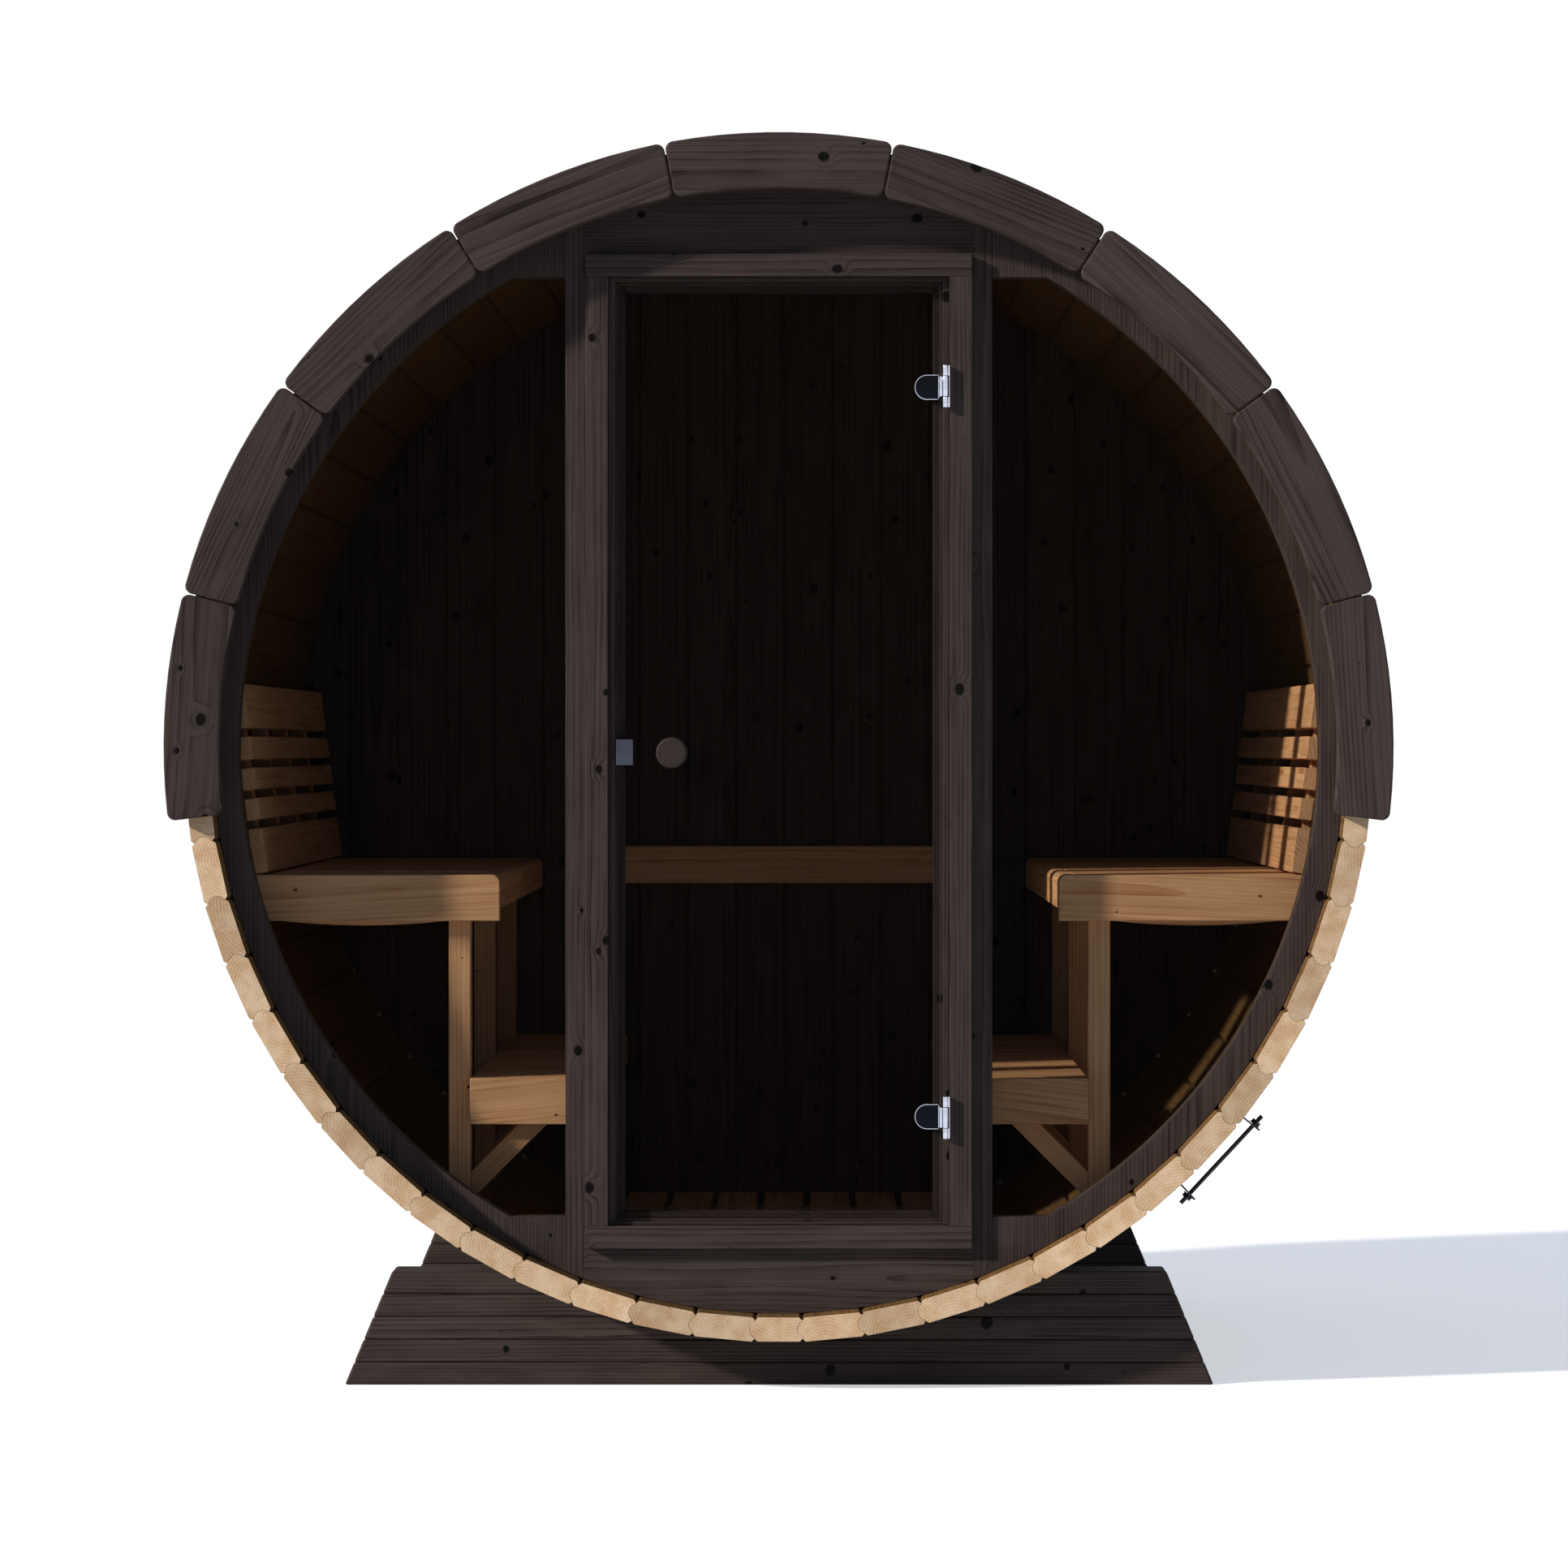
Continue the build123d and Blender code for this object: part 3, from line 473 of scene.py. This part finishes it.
slate_faced_bitumen = slate_felt("slate_faced_bitumen", dark="#1f2124", pale="#45474b")
full_edges = [roof_start + tab_pitch * step for step in range(tab_count + 1)]
half_edges = [full_edges[0]] + [edge + tab_pitch / 2 for edge in full_edges[:-1]] + [full_edges[-1]]
patterns = [shingle_course("course_full", full_edges), shingle_course("course_half", half_edges)]
for side, name in ((1, "right"), (-1, "left")):
    courses = []
    for index in range(course_count):
        course = bpy.data.objects.new("course", patterns[index % 2].data.copy())
        bpy.context.collection.objects.link(course)
        if side < 0:
            course.data.transform(Matrix.Scale(-1, 4, (1, 0, 0)))
        clock = side * (ridge_half_angle + (index + 0.5) * course_angle)
        turn = Matrix.Rotation(math.radians(clock), 4, "Y")
        course.data.transform(Matrix.Translation((0, 0, axis_height)) @ turn)
        courses.append(course)
    bpy.ops.object.select_all(action="DESELECT")
    for course in courses:
        course.select_set(True)
    bpy.context.view_layer.objects.active = courses[0]
    bpy.ops.object.join()
    bpy.ops.object.mode_set(mode="EDIT")
    bpy.ops.mesh.select_all(action="SELECT")
    bpy.ops.mesh.normals_make_consistent(inside=False)
    bpy.ops.object.mode_set(mode="OBJECT")
    shingles = courses[0]
    shingles.name = "shingles_" + name
    lay_grain(shingles)
    shingles.data.materials.append(slate_faced_bitumen)
    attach(shingles, "barrel")
    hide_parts("roof_" + name)
for pattern in patterns:
    bpy.data.objects.remove(pattern)

cap_count, cap_thick, cap_rise = 9, 0.012, 0.002
cap_pitch = (roof_end - roof_start) / cap_count
bpy.ops.object.select_all(action="DESELECT")
bpy.ops.mesh.primitive_cube_add(
    size=1, location=(0, roof_start + cap_pitch / 2, ridge_low.z + cap_thick / 2),
    scale=(ridge_high.x - ridge_low.x, cap_pitch, cap_thick))
ridge = bpy.context.object
ridge.name = "ridge_caps"
bpy.ops.object.transform_apply()
bpy.ops.object.mode_set(mode="EDIT")
bpy.ops.mesh.bisect(plane_co=(0, 0, 0), plane_no=(1, 0, 0))
bpy.ops.object.mode_set(mode="OBJECT")
for vertex in ridge.data.vertices:
    if vertex.co.z > ridge_low.z + cap_thick / 2:
        vertex.co.z += cap_rise * (abs(vertex.co.x) < cap_thick)
        vertex.co.z -= cap_thick / 2 * (vertex.co.y > roof_start + cap_pitch / 2)
row = ridge.modifiers.new("row_of_caps", "ARRAY")
row.count = cap_count
row.use_relative_offset = False
row.use_constant_offset = True
row.constant_offset_displace = (0, cap_pitch, 0)
bpy.ops.object.modifier_apply(modifier=row.name)
lay_grain(ridge)
ridge.data.materials.append(slate_faced_bitumen)
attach(ridge, "barrel")
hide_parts("roof_ridge")


# Walls: window frames and posts of stained spruce with the grain upright, plates with the grain level.
# The back wall is of upright boards, tongued and grooved, and is stained dark on its inner face too, as
# painted shade inside the barrel.
flush_ease = 0.0006
for node in ("front_frame_left", "front_frame_right", "front_posts", "back_wall"):
    lay_grain(eased_copy(node, stained_spruce, flush_ease), (0, 0, 1))
for node in ("front_lintel", "front_sill"):
    lay_grain(eased_copy(node, stained_spruce, flush_ease), (1, 0, 0))


# Door casing and stop: planed strips of stained spruce round the doorway, screwed to the wall.
# The stop is rebated for the glass, and the casing covers the joint of posts and plates.
casing_ease = 0.0012
for node in ("door_casing", "door_stop"):
    lay_grain(eased_copy(node, stained_spruce, casing_ease))


# Floor, benches, footrests and backrests: planed spruce left bare, with well eased edges.
# Slats are screwed to bearers and battens, and aprons and legs carry the seats.
seat_ease, board_ease = 0.0018, 0.002
# Clear spruce, planed and bare: warm and pale, with brown streaks along it and only pin knots.
seat_spruce = spruce("seat_spruce", early="#f2bd89", late="#bd7a4a", knot="#6a4226", knot_large=0.003,
                     ring_spacing=0.007, ring_share=0.6, patch_share=0.15,
                     fibre_tones=(0.75, 1.2), board_tones=(0.82, 1.1), roughness=0.58)
for side in ("left", "right"):
    for group in ("bench", "bench_frame", "footrest", "footrest_frame", "backrest"):
        lay_grain(eased_copy(group + "_" + side, seat_spruce, seat_ease))
for node, grain in (("backrest_battens", (0, 0, 1)), ("back_rail", (1, 0, 0)),
                    ("floor_boards", (0, 1, 0)), ("floor_bearers", (1, 0, 0))):
    lay_grain(eased_copy(node, seat_spruce, board_ease), grain)


# Windows and door leaf: toughened glass 8 mm thick, tinted bronze all through.
# The panes are cut to shape, and their edges are ground before they are toughened.
glass_ease, pane_face_normal = 0.0012, 0.9
glass_roughness, glass_shine, glass_cover = 0.12, 0.02, 0.2
# Float glass tinted in the melt: a dark, warm and clear sheet that dims what lies behind it.
bronze_glass = bpy.data.materials.new("bronze_glass")
bronze_glass.use_nodes = True
pane = bronze_glass.node_tree.nodes["Principled BSDF"]
pane.inputs["Base Color"].default_value = colour("#0d0906")
pane.inputs["Roughness"].default_value = glass_roughness
pane.inputs["Specular IOR Level"].default_value = glass_shine
pane.inputs["Alpha"].default_value = glass_cover
# Glass ground with fine grit: a frosted brown line round each pane.
# The grit's marks are drawn 4 mm wide, coarser than the real ones, so that they show.
grit_size, edge_smoothest, edge_roughest = 0.004, 0.3, 0.55
ground_edge, tree = bare_material("ground_glass_edge")
place = add_node(tree, "ShaderNodeTexCoord").outputs["Object"]
grit = add_node(tree, "ShaderNodeTexNoise", {
    "Vector": place, "Scale": 1 / grit_size, "Detail": 2.0}).outputs[0]
shade = add_node(tree, "ShaderNodeMix", {0: grit, 6: colour("#4a3a29"), 7: colour("#6e5a43")},
                 data_type="RGBA").outputs[2]
frosted = add_node(tree, "ShaderNodeMapRange", {
    "Value": grit, "To Min": edge_smoothest, "To Max": edge_roughest}).outputs[0]
surface = add_node(tree, "ShaderNodeBsdfPrincipled", {"Base Color": shade, "Roughness": frosted})
add_node(tree, "ShaderNodeOutputMaterial", {"Surface": surface.outputs[0]})

for node, body in (("window_left", "barrel"), ("window_right", "barrel"), ("door_glass", "door")):
    glass = eased_copy(node, bronze_glass, glass_ease, body)
    glass.data.materials.append(ground_edge)
    for face in glass.data.polygons:
        face.material_index = int(abs(face.normal.y) < pane_face_normal)


# Door fittings: two chromed hinges that clamp the glass, and a brushed steel catch.
# A pair of turned wooden knobs is screwed together through the glass.
fitting_ease, rim_ease = 0.0006, 0.0014
fitting_smooth_degrees, leaf_face_normal = 40, 0.99


def plated_metal(name, plate, roughness, brush):
    """Metal with its last polish or brushing along X, and faint smears that change the shine."""
    stroke_stretch, stroke_low, stroke_high, stroke_darker, stroke_paler = 30, 0.3, 0.7, 0.95, 1.04
    stroke_strength, stroke_depth = 0.03, 0.0002
    smear_size, mixed_low, mixed_high, smoother_share, rougher_share = 0.02, 0.6, 1.4, 0.8, 1.25
    material, tree = bare_material(name)
    place = add_node(tree, "ShaderNodeTexCoord").outputs["Object"]
    brush_place = add_node(tree, "ShaderNodeVectorMath", {
        0: place, 1: (1 / (brush * stroke_stretch), 1 / brush, 1 / brush)},
        operation="MULTIPLY").outputs["Vector"]
    strokes = add_node(tree, "ShaderNodeTexNoise", {
        "Vector": brush_place, "Scale": 1.0, "Detail": 2.0}).outputs[0]
    smear = add_node(tree, "ShaderNodeTexNoise", {
        "Vector": place, "Scale": 1 / smear_size, "Detail": 2.0}).outputs[0]
    mixed = add_node(tree, "ShaderNodeMath", {0: strokes, 1: smear}, operation="ADD").outputs[0]
    rough = add_node(tree, "ShaderNodeMapRange", {
        "Value": mixed, "From Min": mixed_low, "From Max": mixed_high,
        "To Min": roughness * smoother_share, "To Max": roughness * rougher_share}).outputs[0]
    shade = add_node(tree, "ShaderNodeMapRange", {
        "Value": strokes, "From Min": stroke_low, "From Max": stroke_high,
        "To Min": stroke_darker, "To Max": stroke_paler}).outputs[0]
    metal = add_node(tree, "ShaderNodeMix", {0: 1.0, 6: colour(plate), 7: shade},
                     data_type="RGBA", blend_type="MULTIPLY").outputs[2]
    bump = add_node(tree, "ShaderNodeBump", {
        "Height": strokes, "Strength": stroke_strength, "Distance": stroke_depth}).outputs[0]
    surface = add_node(tree, "ShaderNodeBsdfPrincipled", {
        "Base Color": metal, "Metallic": 1.0, "Roughness": rough, "Normal": bump})
    add_node(tree, "ShaderNodeOutputMaterial", {"Surface": surface.outputs[0]})
    return material


# Brass polished and chromed: a cold bright mirror on the hinges' plates and rims.
chromed_brass = plated_metal("chromed_brass", plate="#c8cede", roughness=0.1, brush=0.002)
# Chrome painted near black on the front faces of the hinge leaves: a painted reflection of dark
# surroundings.
black_nickel = plated_metal("black_nickel", plate="#15171d", roughness=0.14, brush=0.002)
# Steel brushed with a belt: a dull grey blue sheen on the catch.
brushed_steel = plated_metal("brushed_steel", plate="#434652", roughness=0.32, brush=0.0012)
# Birch turned on a lathe and stained: smooth and brown, with hardly any figure.
turned_birch = spruce("turned_birch", early="#39322f", late="#282320", knot="#241f1c", knot_large=0.001,
                      ring_spacing=0.005, ring_share=0.5, patch_share=0.1,
                      fibre_tones=(0.85, 1.1), board_tones=(0.95, 1.0), roughness=0.4)
for node, slot, metal, ease, body in (
        ("hinge_plates", "hinge_chrome", chromed_brass, fitting_ease, "barrel"),
        ("door_hinges", "hinge_chrome", chromed_brass, rim_ease, "door"),
        ("door_catch", "catch_steel", brushed_steel, fitting_ease, "door")):
    fitting = eased_copy(node, metal, ease, body)
    bpy.ops.object.shade_smooth_by_angle(angle=math.radians(fitting_smooth_degrees))
    # The leaves' front faces take the chrome painted near black, a painted dark reflection.
    if node == "door_hinges":
        fitting.data.materials.append(black_nickel)
        leaf_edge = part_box("door_glass")[1].x
        for face in fitting.data.polygons:
            face.material_index = int(face.normal.y < -leaf_face_normal and face.center.x < leaf_edge)
lay_grain(eased_copy("door_knobs", turned_birch, fitting_ease, "door"), (0, 0, 1))


# Stage: a plain pale floor that keeps the shadow, a white surround and a low key light from the left.
# The camera stands square to the front, about as high as the barrel's axis, with a long lens.
floor_size, paper_glow = 40, 0.55
surround_fill, surround_white = 0.3, 1.0
key_degrees, key_strength = 3, 4.8
key_place = Vector((-9.2, -4.2, 4.6))
sensor, lens, shift_across, shift_up = 36, 115.2, -0.0202, -0.0228
camera_place = (0.064, -9.505, 1.118)


def seen_rays(tree):
    """One for rays that the eye follows, straight, mirrored or through glass, and nought for other light."""
    path = add_node(tree, "ShaderNodeLightPath")
    seen = add_node(tree, "ShaderNodeMath", {
        0: path.outputs["Is Camera Ray"], 1: path.outputs["Is Glossy Ray"]}, operation="MAXIMUM").outputs[0]
    return add_node(tree, "ShaderNodeMath", {
        0: seen, 1: path.outputs["Is Transmission Ray"]}, operation="MAXIMUM").outputs[0]


bpy.ops.object.select_all(action="DESELECT")
bpy.ops.mesh.primitive_plane_add(size=floor_size)
floor = bpy.context.object
floor.name = "studio_floor"
# Matt paper that glows a little, so that it is white but for the shadow.
paper, tree = bare_material("pale_paper")
glow = add_node(tree, "ShaderNodeMath", {0: seen_rays(tree), 1: paper_glow}, operation="MULTIPLY").outputs[0]
lit = add_node(tree, "ShaderNodeBsdfDiffuse", {"Color": colour("#e8e8e8")}).outputs[0]
white = add_node(tree, "ShaderNodeEmission", {"Strength": glow}).outputs[0]
both = add_node(tree, "ShaderNodeAddShader", {0: lit, 1: white}).outputs[0]
add_node(tree, "ShaderNodeOutputMaterial", {"Surface": both})
floor.data.materials.append(paper)

world = bpy.data.worlds.new("white_surround")
bpy.context.scene.world = world
world.use_nodes = True
tree = world.node_tree
tree.nodes.clear()
seen = seen_rays(tree)
strength = add_node(tree, "ShaderNodeMapRange", {
    "Value": seen, "To Min": surround_fill, "To Max": surround_white}).outputs[0]
tint = add_node(tree, "ShaderNodeMix", {0: seen, 6: colour("#b5d1ff"), 7: colour("#ffffff")},
                data_type="RGBA").outputs[2]
sky = add_node(tree, "ShaderNodeBackground", {"Color": tint, "Strength": strength}).outputs[0]
add_node(tree, "ShaderNodeOutputWorld", {"Surface": sky})

barrel_centre = Vector((0, 0, axis_height))
lamp = bpy.data.lights.new("soft_key", "SUN")
lamp.angle = math.radians(key_degrees)
lamp.energy = key_strength
lamp.color = colour("#fff6ea")[:3]
key = bpy.data.objects.new("soft_key", lamp)
bpy.context.collection.objects.link(key)
key.location = barrel_centre + key_place
key.rotation_euler = (barrel_centre - key.location).to_track_quat("-Z", "Y").to_euler()

camera = bpy.data.cameras.new("camera")
camera.sensor_width = sensor
camera.lens = lens
camera.shift_x = shift_across
camera.shift_y = shift_up
viewer = bpy.data.objects.new("camera", camera)
bpy.context.collection.objects.link(viewer)
viewer.location = camera_place
viewer.rotation_euler = (math.radians(90), 0, 0)
bpy.context.scene.camera = viewer
bpy.context.scene.view_settings.view_transform = "Standard"
